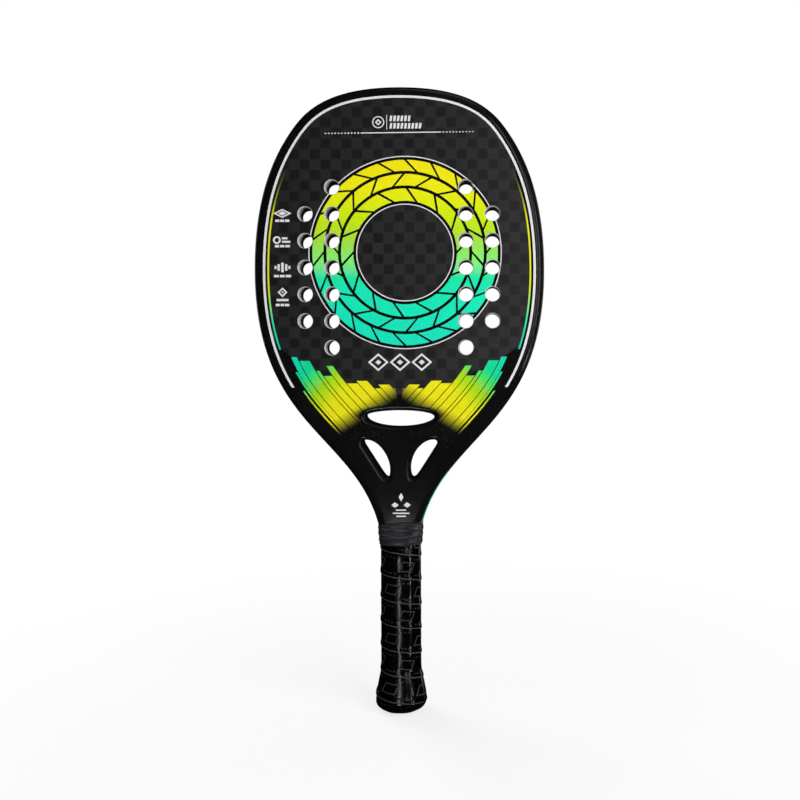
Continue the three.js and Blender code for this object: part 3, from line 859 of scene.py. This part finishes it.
def grip_leather():
    """Glossy wound grip: pressed with rows of slanted lozenges and short dashes, and finely grained. Its
    pressed marks and lap edges are tinted grey as painted highlights.
    """
    grip = Finish("grip_leather")
    along, up, _ = grip.split(grip.value("ShaderNodeUVMap", {"uv_map": "winding"}))
    cell = along % pattern_length - lozenge_along
    off_middle = abs(up - pattern_middle)
    lean = cell - 0.45 * (up - pattern_middle)
    outline = 1 - abs((abs(lean) - 5.2).most(off_middle - 3.6)).smooth(0.25, 0.6)
    dash = abs(along % grip_dash_pitch - grip_dash_pitch / 2) - 0.9
    rows = abs(off_middle - 6.3) - 0.35
    away = abs(cell - pattern_length / 2).smooth(7.0, 7.4)
    dashes = (1 - dash.most(rows).smooth(-0.1, 0.15)) * (1 - away)
    pressed = outline.most(dashes)
    grain = grip.noise(1500.0)
    creases = grip.noise((150.0, 150.0, 420.0), 3.0, 0.6)
    # Lap edge of each turn: tinted pale grey, partly the cut edge of the tape and partly a painted
    # highlight along the seam
    edge = 1 - up.smooth(0.75, 1.15)
    # The pressed marks are tinted grey: a painted highlight of light catching their raised outlines
    tint = grip.mix(pressed * 0.85, "#030304", "#313133")
    tint = grip.mix(edge, tint, "#3f3f41")
    gloss = 0.12 + 0.06 * grip.noise(60.0) + 0.05 * grain + 0.1 * pressed + 0.3 * edge
    relief = grip.bump(pressed, 0.00025, 0.8)
    return grip.done(tint, gloss, grip.bump(0.6 * creases + 0.1 * grain, 0.00035, 0.22, relief))


def stretched_tape():
    """Shiny stretched tape, full of small level wrinkles, whose crests are tinted lighter as a painted
    highlight.
    """
    tape = Finish("stretched_tape")
    wrinkles = tape.noise((110.0, 110.0, 1500.0), 3.0, 0.6)
    folds = tape.noise((60.0, 60.0, 520.0))
    # Painted highlight: the wrinkles' crests are tinted lighter, as light catching them would make them
    tint = tape.mix(wrinkles.smooth(0.45, 0.72), "#1f1f21", "#3d3d40")
    gloss = 0.12 + 0.08 * folds + 0.04 * tape.noise(2200.0, 1.0)
    return tape.done(tint, gloss, tape.bump(0.6 * wrinkles + 0.4 * folds, 0.0004, 0.35))


def moulded_cap():
    """Moulded black plastic with a fine spark-eroded texture."""
    cap = Finish("moulded_cap")
    spark = cap.noise(2400.0)
    flow = cap.noise((40.0, 40.0, 14.0), 3.0)
    tint = cap.mix(flow.smooth(0.3, 0.8), "#020203", "#060607")
    return cap.done(tint, 0.22 + 0.06 * spark + 0.05 * flow, cap.bump(spark, 0.00005, 0.4))


def moulded_foam():
    """Tan rigid foam of the handle's half shells, with a skinned surface and small voids."""
    foam = Finish("moulded_foam")
    voids = foam.cells(900.0).smooth(0.05, 0.3)
    cloud = foam.noise((90.0, 90.0, 40.0), 3.0)
    tint = foam.mix(cloud.smooth(0.3, 0.7), "#8a7850", "#a08d62")
    tint = foam.mix(0.3 - 0.3 * voids, tint, "#5d5034")
    return foam.done(tint, 0.8 + 0.1 * cloud, foam.bump(voids, 0.0002, 0.5))


def drawn_wire():
    """Drawn steel wire with fine marks along it."""
    wire = Finish("drawn_wire")
    marks = wire.noise((300.0, 6000.0, 6000.0))
    tint = wire.mix(marks, "#a9abad", "#c8cacc")
    return wire.done(tint, 0.28 + 0.14 * marks, wire.bump(marks, 0.00003, 0.4), metallic=1.0)


# Pieces of the head and throat

def rounded_edges(across, deep, steps):
    """Insets and depths over the rounded edges of both faces, from the rear to the front. Each edge
    has a flat border between its round and the face."""
    turns = np.linspace(0.0, math.pi / 2, steps + 1)
    front = [(across * (1 - math.cos(turn)), face_depth - deep * (1 - math.sin(turn))) for turn in turns]
    front.append((across + flat_border, face_depth))
    return np.array([(inset, -depth) for inset, depth in reversed(front)] + front).T


def make_shell(paint, side):
    """Frame and throat as one painted skin, with the seats of the laminates and the two legs."""
    shell = Body()
    insets, depths = rounded_edges(rim_across, rim_deep, 12)
    inks = [int(max(insets[k:k + 2]) < side_paint_inset) for k in range(len(insets) - 1)]
    shell.band([rim_outline(inset) for inset in insets], depths, inks)
    grows, depths = rounded_edges(lip_across, lip_deep, 7)
    for outline in throat_openings():
        shell.band([grown(outline, grow) for grow in grows], depths)
    seat = skin_outline(skin_inset)
    core = head_outline(tube_width, bridge_top_height, bridge_top_radius)
    inner_depth = face_depth - skin_thickness
    face = [rim_outline(rim_across + flat_border), seat]
    for depth in (-1, 1):
        shell.flat(face, depth * face_depth, openings(lip_across + flat_border))
        shell.band([seat, seat], [depth * face_depth, depth * inner_depth])
        shell.flat([seat, core], depth * inner_depth)
    shell.band([core, core], [-inner_depth, inner_depth])
    for place in (-1, 1):
        leg = leg_section(place * leg_middle)
        shell.loft([[(x, y, height) for x, y in leg] for height in (leg_foot, shell_foot)], None, True)
    return place_piece(shell.piece("racket_shell", [paint, side]), "carbon_paint",
                       "frame_tube", "throat_bridge")


def leg_section(middle):
    """A rounded rectangle, level, in (across, back)."""
    points = []
    for turn in range(4):
        across = (leg_width / 2 - leg_round) * (1 if turn in (0, 3) else -1)
        back = (leg_depth / 2 - leg_round) * (1 if turn < 2 else -1)
        angles = math.pi / 2 * (turn + np.linspace(0.0, 1.0, 6))
        points += [(middle + across + leg_round * math.cos(angle), back + leg_round * math.sin(angle))
                   for angle in angles]
    return points


def make_skin(name, facing, weave, edge, node):
    """Woven laminate over one side of the core. Its holes have a fine broken edge, pale where cut."""
    skin = Body()
    outline = skin_outline(skin_inset + skin_edge_gap)
    outer, inner = facing * face_depth, facing * (face_depth - skin_thickness)
    wide, narrow = holes(hole_radius + hole_chamfer), holes(hole_radius)
    skin.flat([outline], outer, wide)
    skin.flat([outline], inner, narrow)
    skin.band([outline, outline], [outer, inner])
    for mouth, bore in zip(wide, narrow):
        skin.band([mouth, bore, bore], [outer, outer - facing * hole_chamfer, inner], [1, 1])
    return place_piece(skin.piece(name, [weave, edge]), "face_weave", node)


def make_core(foam):
    """Soft foam between the laminates, drilled through."""
    core = Body()
    depth = face_depth - skin_thickness - core_face_gap
    outline = head_outline(tube_width + core_edge_gap, bridge_top_height + core_edge_gap, bridge_top_radius)
    core.slab([outline], -depth, depth, holes(hole_radius))
    piece = place_piece(core.piece("foam_sheet", [foam]), "core_foam", "foam_core")
    return piece


# Print, as thin closed films

def white_band():
    """The band round the crown, down to the same height on both sides."""
    lines = []
    for inset in band_insets:
        side = side_line(inset)
        right = np.vstack([side[side[:, 1] > band_foot], (across_at(side, band_foot), band_foot)])
        lines.append(np.vstack([mirrored(right)[:0:-1], right]) + band_shift)
    return np.vstack([lines[0], lines[1][::-1]])


def side_line_print(side):
    """The thin coloured line beside the white band. It thins out upwards, away from the band."""
    outer, inner = (side_span(inset, *line_span) for inset in line_insets)
    rise = (outer[:, 1:] - line_thinning_height) / (line_span[1] - line_thinning_height)
    rise = np.clip(rise, 0.0, 1.0) ** 2
    inner = np.column_stack((across_at(inner, outer[:, 1]), outer[:, 1]))
    outer = outer + rise * (inner - outer) * 0.75
    inner = inner - rise * (0.5, 0.0)
    return np.vstack([outer[::-1], inner]) * (side, 1) + (line_shift, 0.0)


def ring_tiles():
    """Slanted tiles in three rings, each ring leaning against the next."""
    tiles = []
    for low, high, count, lean in ring_rows:
        for k in range(count):
            start, end = (2 * math.pi * turn / count for turn in (k, k + 1))
            inner = tile_edge(low, start, end, 0.0)
            outer = tile_edge(high, start, end, math.radians(lean))
            tiles.append(np.vstack([inner, outer[::-1]]) + ring_middle)
    return tiles


def tile_edge(radius, start, end, lean):
    """The curved edge of a tile between two angles, shortened by half the gap at both ends."""
    short = ring_gap / radius / 2
    turns = np.linspace(start + short, end - short, 6) + lean
    return radius * np.column_stack((np.cos(turns), np.sin(turns)))


def rectangle(left, low, right, high):
    return np.array([(left, low), (right, low), (right, high), (left, high)])


def lozenge(middle, across, up):
    return np.array([(across, 0.0), (0.0, up), (-across, 0.0), (0.0, -up)]) + middle


def corner_stripes():
    """Nested stripes that follow the rim below the face, with square upper ends."""
    stripes = []
    for outer, inner, high in stripe_plan:
        low = stripe_foot + outer * stripe_foot_rise
        stripes.append(np.vstack([side_span(outer, low, high)[::-1], side_span(inner, low, high)]))
    return stripes


def crown_share(points):
    """0 below the height where the bare weave starts to widen, and 1 above the one where it ends."""
    low, high = weave_change
    return np.clip((points[:, 1:] - low) / (high - low), 0.0, 1.0)


def bare_weave_outline():
    """The area of weave that no black print covers. Round the crown it reaches under the white band."""
    low_side, high_side = (side_line(inset) for inset in weave_insets)
    side = low_side + crown_share(low_side) * (high_side - low_side)
    reach, highest = weave_border[-1]
    across = np.linspace(reach, 0.0, 40)
    border = np.column_stack((across, np.interp(across, *zip(*weave_border))))
    right = side[side[:, 1] > highest]
    outline = both_sides(np.vstack([right, border[across < right[-1, 0]]]))
    return outline - (weave_shift, 0.0) * (1 - crown_share(outline))


def ground_outlines():
    """Black print: the border inside the rim, the throat's top and the disc under the ring of tiles."""
    border = side_line(rim_across + 0.5)
    border = border[border[:, 1] > ground_foot]
    whole = both_sides(np.vstack([border, (0.0, ground_foot)]))
    return [whole, bare_weave_outline(), *circles(ring_middle, ring_ground, ring_sides)]


def white_outlines():
    """White print: band, ring contours, line and emblem under the crown, lozenge chain and signs."""
    made = [white_band()]
    for contour in ring_contours:
        made += circles(ring_middle, contour, ring_sides)
    return made + headline() + lozenge_chain() + small_signs() + throat_sign()


def underline(left, length, half):
    """A bar of the line under the crown, which rises a little to the right."""
    right = left + length
    low, high = (underline_height + underline_slope * x for x in (left, right))
    return np.array([(left, low - half), (right, high - half), (right, high + half), (left, low + half)])


def slanted_row(left, low, count):
    """A row of short slanted bars."""
    return [np.array(slanted_bar) + (left + slanted_bar_pitch * k, low) for k in range(count)]


def headline():
    """Line under the crown, solid in the middle and dashed towards its ends, with an emblem above."""
    made = [underline(-30.0, 64.0, 0.4)]
    made += [underline(-32.6 - underline_dash_pitch * k, 1.15, 0.58 - 0.015 * k) for k in range(11)]
    made += [underline(35.2 + underline_dash_pitch * k, 1.1, 0.5 - 0.02 * k) for k in range(10)]
    made += circles(emblem_middle, (4.8, 4.0), 48) + circles(emblem_middle, (2.6, 1.2), 4)
    made.append(rectangle(-9.6, 465.0, -9.1, 476.6))
    return made + slanted_row(-7.2, 471.5, 6) + slanted_row(-7.2, 465.6, 9)


def lozenge_chain():
    """Three outlined lozenges in a row, each with a filled one in its middle."""
    x, height = chain_middle
    return [lozenge((x + chain_pitch * k, height), 8.2 * share, 7.1 * share)
            for k in (-1, 0, 1) for share in (1.0, 0.74, 0.3)]


def small_signs():
    """Four plain signs beside the holes, each over a broken bar."""
    made = []
    for low, half in ((391.6, 5.6), (371.4, 6.0), (347.6, 6.8), (324.6, 5.4)):
        for left, right in ((-1.0, -0.42), (-0.3, 0.25), (0.37, 1.0)):
            made.append(rectangle(left * half, low, right * half, low + 1.9))
    made += [lozenge((0.0, 398.4), across, up) for across, up in ((7.2, 3.6), (4.9, 2.4), (3.4, 1.7))]
    made += circles((-4.4, 377.2), (3.1, 1.7), 40)
    made += [rectangle(-0.4, 375.0, 6.4, 376.6), rectangle(-0.4, 377.8, 4.0, 379.4)]
    made.append(rectangle(-1.0, 351.6, 1.0, 359.2))
    for side in (-1, 1):
        made.append(rectangle(2.1, 352.8, 3.9, 358.0) * (side, 1))
        made.append(rectangle(4.7, 354.2, 6.3, 356.6) * (side, 1))
    made += circles((0.0, 335.6), (3.9, 2.3, 1.0), 4)
    made.append(rectangle(-4.8, 328.6, 4.8, 330.4))
    return [shape + (sign_across, 0.0) for shape in made]


def throat_sign():
    """Three lozenges over three bars on the throat."""
    made = [lozenge((0.0, 172.4), 1.9, 3.4)]
    made += [lozenge((across, 166.2), 2.9, 2.2) for across in (-4.8, 4.8)]
    for height, half in ((162.1, 4.0), (159.6, 6.6), (157.2, 3.8)):
        made.append(rectangle(-half, height - 0.5, half, height + 0.5))
    return [shape + (throat_sign_across, 0.0) for shape in made]


def make_prints(facing, side_name, paint, white_print, inks):
    """The three films on one face: black ground, colours and white."""
    drilled = holes(hole_radius + hole_chamfer)
    clear = openings(lip_across + lip_margin)
    ground, colours, bright = Body(), Body(), Body()
    ground.film(ground_outlines(), ground_lift, [*drilled, *clear])
    colours.film(ring_tiles(), ink_lift, drilled)
    colours.film([side_line_print(side) for side in (-1, 1)], ink_lift, (), 1)
    for side in (-1, 1):
        stripes = [stripe * (side, 1) for stripe in corner_stripes()]
        colours.film(stripes, ink_lift, [*clear, np.array(stripe_limit) * (side, 1)], 2)
    bright.film(white_outlines(), ink_lift, drilled)
    for body, name, finishes, slot in ((ground, "print_ground", [paint], "carbon_paint"),
                                       (colours, "print_colours", inks, "face_weave"),
                                       (bright, "print_white", [white_print], "face_weave")):
        body.points = [(facing * x, facing * y, z) for x, y, z in body.points]
        place_piece(body.piece(side_name + "_" + name, finishes), slot)


# Handle

def section(width, depth, bevel, crown, count=160):
    """Points (across, back) round a bevelled section with eased corners and slightly crowned sides."""
    x, y = width / 2, depth / 2
    half = np.array([(x, y - bevel), (x - bevel, y), (bevel - x, y), (-x, y - bevel)])
    corners = np.vstack([half, -half])
    control = []
    for k in range(8):
        start, end = corners[k - 1], corners[k]
        ahead = (end - start) / np.linalg.norm(end - start)
        outward = np.array((ahead[1], -ahead[0]))
        for share, lift in ((0.14, 0.0), (0.5, crown), (0.86, 0.0)):
            control.append(start + share * (end - start) + (lift - crown * 0.66) * outward)
    control = np.array(control)
    place = np.arange(count) / count * len(control)
    base = place.astype(int)
    t = (place - base)[:, None]
    p = [control[(base + k) % len(control)] for k in (-1, 0, 1, 2)]
    weights = ((1 - t) ** 3, 3 * t**3 - 6 * t**2 + 4, -3 * t**3 + 3 * t**2 + 3 * t + 1, t**3)
    return sum(weight * point for weight, point in zip(weights, p)) / 6


class SectionTable:
    """Sections of a sleeve at many heights, ready to be read between them."""

    def __init__(self, stations, fairing, crown):
        self.heights = np.linspace(stations[0][0], stations[-1][0], 90)
        self.rings = np.array([section(*station_at(stations, height, fairing), crown)
                               for height in self.heights])
        self.middle = self.rings[len(self.rings) // 2]

    def at(self, column, height):
        share = np.interp(height, self.heights, np.arange(len(self.heights)))
        low = min(int(share), len(self.heights) - 2)
        ring_low, ring_high = self.rings[low], self.rings[low + 1]
        return ring_low[column] + (share - low) * (ring_high[column] - ring_low[column])

    def columns(self):
        """The columns once round, and the first again, each with its share of a whole turn."""
        turns = (np.arctan2(self.middle[:, 1], self.middle[:, 0]) / (2 * math.pi)) % 1.0
        start = int(np.argmin(turns))
        order = [(start + k) % len(turns) for k in range(len(turns))]
        return [(column, turns[column]) for column in order] + [(start, 1.0 + turns[start])]

    def perimeter(self):
        steps = np.roll(self.middle, -1, axis=0) - self.middle
        return float(np.sum(np.linalg.norm(steps, axis=1)))


def station_at(stations, height, fairing):
    """Width, depth and bevel at a height, eased over the corners of the profile."""
    table = np.array(stations)
    reach = np.linspace(-fairing, fairing, 9)
    return [float(np.mean(np.interp(height + reach, table[:, 0], table[:, k]))) for k in (1, 2, 3)]


def sleeve_grid(made, table, pitch, seam_height, profile, bumps, slope):
    """Rows of corners up the sleeve, each with whether it is free of both ends, and its place along
    and up its turn."""
    low, high = table.heights[0], table.heights[-1]
    reach = abs(table.middle[:, 0]).max()
    perimeter = table.perimeter()
    columns = table.columns()
    grid = []
    for turn in range(math.floor((low - seam_height) / pitch) - 1,
                      math.ceil((high - seam_height) / pitch) + 2):
        for share, lift in profile:
            row = []
            for column, angle in columns:
                fall = angle + turn_skew * math.sin(math.pi * angle) ** 4
                height = seam_height + pitch * (turn + share - fall + 1)
                held = min(max(height, low), high + slope * (table.middle[column, 0] - reach))
                place = table.at(column, held)
                stand = lift + bumps(place[0], place[1], height)
                point = place + stand * place / np.linalg.norm(place)
                corner = made.verts.new(Vector((point[0], point[1], held)) * METRE)
                row.append((corner, held == height, ((angle - turn) * perimeter, share * pitch)))
            grid.append(row)
    return grid


def wound_sleeve(name, table, pitch, seam_height, profile, bumps, finish, thickness, slope=0.0):
    """A sleeve of turns wound downwards to the left, each turn lapped over the one below it.

    bumps(across, back, height) gives the small unevenness of the surface, and slope tilts the upper
    edge upwards to the right."""
    made = bmesh.new()
    winding = made.loops.layers.uv.new("winding")
    grid = sleeve_grid(made, table, pitch, seam_height, profile, bumps, slope)
    for lower, upper in zip(grid, grid[1:]):
        for k in range(len(lower) - 1):
            quad = [lower[k], lower[k + 1], upper[k + 1], upper[k]]
            if any(free for _, free, _ in quad):
                face = made.faces.new([corner for corner, _, _ in quad])
                for loop, (_, _, uv) in zip(face.loops, quad):
                    loop[winding].uv = uv
    loose = [corner for corner in made.verts if not corner.link_faces]
    bmesh.ops.delete(made, geom=loose, context="VERTS")
    sleeve = finish_mesh(made, name, [finish], 50.0)
    wall = sleeve.modifiers.new("wall", "SOLIDIFY")
    wall.thickness = thickness * METRE
    wall.offset = -1.0
    return sleeve


def grip_bumps(across, back, height):
    """Small lumps where the tape was pulled on unevenly."""
    place = Vector((across, back, height))
    return grip_lump * (noise.noise(place * 0.11) + 0.5 * noise.noise(place * 0.35))


def tape_bumps(across, back, height):
    """Level wrinkles of the stretched tape."""
    wide = noise.noise(Vector((across * 0.08, back * 0.08, height * 0.9)))
    fine = noise.noise(Vector((across * 0.16, back * 0.16, height * 2.1 + 40.0)))
    return tape_wrinkle * (wide + 0.7 * fine)


def make_grip(leather):
    table = SectionTable(grip_stations, grip_fairing, grip_crown)
    grip = wound_sleeve("wound_grip", table, grip_pitch, grip_seam_height, grip_profile, grip_bumps,
                        leather, grip_thickness)
    place_piece(grip, "grip_black", "grip_wrap")


def make_tape(finish):
    table = SectionTable(tape_stations, tape_fairing, tape_crown)
    tape = wound_sleeve("neck_tape", table, tape_pitch, tape_seam_height, tape_profile, tape_bumps,
                        finish, tape_thickness, tape_top_slope)
    place_piece(tape, "tape_black", "finishing_tape")


def make_cap(finish):
    """Domed butt cap with its flange, and the socket for the pallets."""
    cap = Body()
    rings = [[(x, y, height) for x, y in section(width, depth, bevel, cap_crown)]
             for height, width, depth, bevel in cap_stations]
    cap.loft(rings, None, True)
    return place_piece(cap.piece("domed_cap", [finish], 40.0), "cap_black", "butt_cap")


def dress_hidden_nodes(handle, plug, wire):
    """Finishes of the solids that stay as they are inside the handle."""
    dressed = {"handle_spine": handle, "front_pallet": handle, "rear_pallet": handle}
    dressed |= {"leg_plug_left": plug, "leg_plug_right": plug}
    dressed |= {"front_staple": wire, "rear_staple": wire}
    for name, finish in dressed.items():
        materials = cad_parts[name].data.materials
        materials.clear()
        materials.append(finish)


# Floor, surround and lamps

def flat_mesh(name, corners):
    """A mesh of one face with four corners, in metres."""
    mesh = bpy.data.meshes.new(name)
    mesh.from_pydata(corners, [], [(0, 1, 2, 3)])
    return mesh


def only_in_reflections(piece):
    for rays in ("camera", "diffuse", "transmission", "volume_scatter", "shadow"):
        setattr(piece, "visible_" + rays, False)


def make_floor():
    """A pale floor: near the racket it keeps the shadow, and farther off it is plain white."""
    finish = Finish("pale_floor")
    finish.done((0.85, 0.85, 0.85, 1.0), 0.9, specular_ior_level=0.0)
    far = finish.value("ShaderNodeVectorMath", {"operation": "LENGTH"}, {0: finish.place}, "Value")
    share = 0.75 + 0.25 * far.smooth(0.1, 0.55)
    inputs = {0: finish.seen() * share, 1: finish.shader.outputs[0], 2: finish.glow(1.0)}
    finish.show(finish.value("ShaderNodeMixShader", None, inputs))
    corners = [(x * floor_reach, y * floor_reach, 0.0) for x, y in ((-1, -1), (1, -1), (1, 1), (-1, 1))]
    floor = linked("floor", flat_mesh("floor", corners), [finish.material])
    floor.visible_glossy = False


def make_surround():
    """A black drum round the set, seen only in reflections, which keeps the blacks black."""
    made = bmesh.new()
    bmesh.ops.create_cone(made, cap_ends=True, segments=48, radius1=drum_radius, radius2=drum_radius,
                          depth=drum_height)
    mesh = bpy.data.meshes.new("black_drum")
    made.to_mesh(mesh)
    made.free()
    cloth = Finish("black_cloth").done((0.003, 0.003, 0.003, 1.0), 0.9, specular_ior_level=0.0)
    drum = linked("black_drum", mesh, [cloth])
    only_in_reflections(drum)


def make_world():
    """White to the camera and in reflections, and a weak even light on everything else."""
    world = bpy.data.worlds.new("studio")
    world.use_nodes = True
    bpy.context.scene.world = world
    nodes = Nodes(world.node_tree)
    background = nodes.found("BACKGROUND")
    nodes.feed(background.inputs[0], white)
    nodes.feed(background.inputs[1], nodes.seen() * (1.0 - ambient) + ambient)


def make_card(name, azimuth, distance, low, high, width, strength):
    """An upright bright card, seen only in reflections, that draws a line down a glossy piece."""
    x = width / 2
    mesh = flat_mesh(name, [(-x, 0.0, low), (x, 0.0, low), (x, 0.0, high), (-x, 0.0, high)])
    finish = Finish(name)
    finish.show(finish.glow(strength))
    finish.material.cycles.emission_sampling = "NONE"
    card = linked(name, mesh, [finish.material])
    turn = math.radians(azimuth)
    card.location = (distance * math.sin(turn), -distance * math.cos(turn), 0.0)
    card.rotation_euler = (0.0, 0.0, turn)
    only_in_reflections(card)


def make_lamp(rays, name, azimuth, elevation, distance, width, height, strength):
    """A soft lamp that faces the racket's middle. Azimuth 0 is in front of it, and 90 to its right.
    rays names the light that it gives, and strength is the brightness of its surface."""
    data = bpy.data.lights.new(name, "AREA")
    data.shape = "RECTANGLE"
    data.size, data.size_y = width, height
    data.energy = strength * math.pi * width * height
    lamp = bpy.data.objects.new(name, data)
    turn, lift = math.radians(azimuth), math.radians(elevation)
    away = Vector((math.sin(turn) * math.cos(lift), -math.cos(turn) * math.cos(lift), math.sin(lift)))
    lamp.location = Vector((0.0, 0.0, racket_length / 2)) * METRE + away * distance
    lamp.rotation_euler = away.to_track_quat("Z", "Y").to_euler()
    bpy.context.collection.objects.link(lamp)
    lamp.visible_camera = False
    lamp.visible_diffuse = rays == "diffuse"
    lamp.visible_glossy = rays == "glossy"
    lamp.visible_transmission = rays == "glossy"


def make_lights():
    for lamp in fill_lamps:
        make_lamp("diffuse", *lamp)
    for lamp in gloss_lamps:
        make_lamp("glossy", *lamp)
    for card in cards:
        make_card(*card)


def main():
    make_camera()
    paint, weave, edge = black_paint(), woven_laminate(), cut_edge()
    make_shell(paint, side_paint())
    make_skin("front_laminate", 1, weave, edge, "front_skin")
    make_skin("rear_laminate", -1, weave, edge, "rear_skin")
    make_core(cut_foam())
    inks = [ring_ink(), line_ink(), corner_ink()]
    white_print = white_ink()
    make_prints(1, "front", paint, white_print, inks)
    make_prints(-1, "rear", paint, white_print, inks)
    make_grip(grip_leather())
    make_tape(stretched_tape())
    make_cap(moulded_cap())
    dress_hidden_nodes(moulded_foam(), cut_foam("plug_foam", "#b9bcbe", False), drawn_wire())
    make_floor()
    make_surround()
    make_world()
    make_lights()
    bpy.context.scene.view_settings.view_transform = "Standard"


main()
